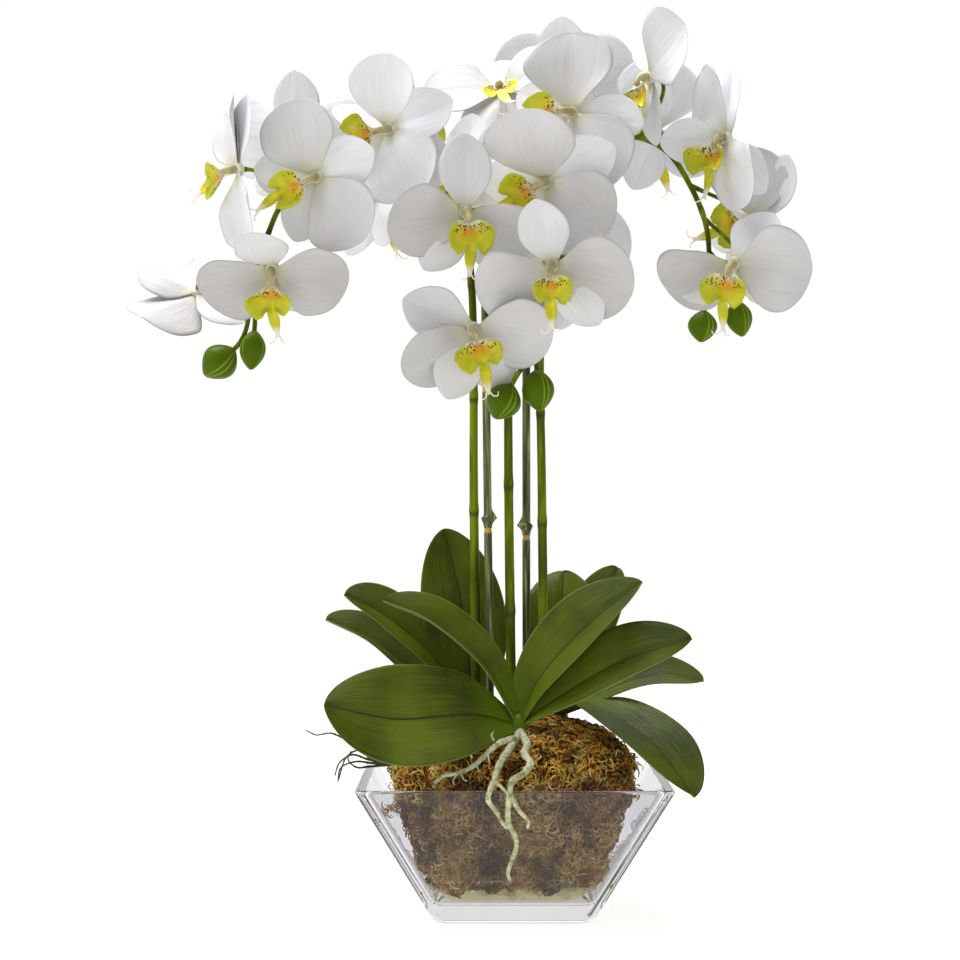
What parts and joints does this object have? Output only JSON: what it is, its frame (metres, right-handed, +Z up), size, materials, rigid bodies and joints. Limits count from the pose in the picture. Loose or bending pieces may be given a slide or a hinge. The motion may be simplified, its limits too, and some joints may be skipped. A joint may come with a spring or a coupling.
{
  "type": "moth orchid in vase",
  "caption": "Moth orchid arrangement: arching sprays of white blooms with yellow lips over strap leaves, canes and hanging roots, in moss in a flared square glass vase.",
  "frame": {"origin": "centre of the vase's flat foot, on the surface it stands on", "axes": "+Z up, front towards -Y, +X to the right seen from the front"},
  "size_m": [0.4466, 0.2541, 0.6012],
  "materials": {
    "glass": "clear, polished",
    "moss": "matt curly fibres",
    "leaf": "satin",
    "cane": "satin",
    "stem": "satin",
    "petal": "matt, fine weave",
    "lip": "satin",
    "root": "matt"
  },
  "bodies": {
    "root": {"vase": "glass", "moss": "moss", "crown_front": "leaf", "crown_left": "leaf", "crown_right": "leaf", "cane_left": "cane", "cane_right": "cane", "spike_left": "stem", "spike_centre": "stem", "spike_right": "stem", "roots_front": "root", "roots_left": "root", "left_bloom_1": "petal", "left_bloom_1_lip": "lip", "left_bloom_2": "petal", "left_bloom_2_lip": "lip", "left_bloom_3": "petal", "left_bloom_3_lip": "lip", "left_bloom_4": "petal", "left_bloom_4_lip": "lip", "left_bloom_5": "petal", "left_bloom_5_lip": "lip", "left_bloom_6": "petal", "left_bloom_6_lip": "lip", "left_bloom_7": "petal", "left_bloom_7_lip": "lip", "left_bloom_8": "petal", "left_bloom_8_lip": "lip", "centre_bloom_1": "petal", "centre_bloom_1_lip": "lip", "centre_bloom_2": "petal", "centre_bloom_2_lip": "lip", "centre_bloom_3": "petal", "centre_bloom_3_lip": "lip", "centre_bloom_4": "petal", "centre_bloom_4_lip": "lip", "centre_bloom_5": "petal", "centre_bloom_5_lip": "lip", "centre_bloom_6": "petal", "centre_bloom_6_lip": "lip", "centre_bloom_7": "petal", "centre_bloom_7_lip": "lip", "centre_bloom_8": "petal", "centre_bloom_8_lip": "lip", "right_bloom_1": "petal", "right_bloom_1_lip": "lip", "right_bloom_2": "petal", "right_bloom_2_lip": "lip", "right_bloom_3": "petal", "right_bloom_3_lip": "lip", "right_bloom_4": "petal", "right_bloom_4_lip": "lip", "right_bloom_5": "petal", "right_bloom_5_lip": "lip", "right_bloom_6": "petal", "right_bloom_6_lip": "lip"}
  },
  "joints": []
}
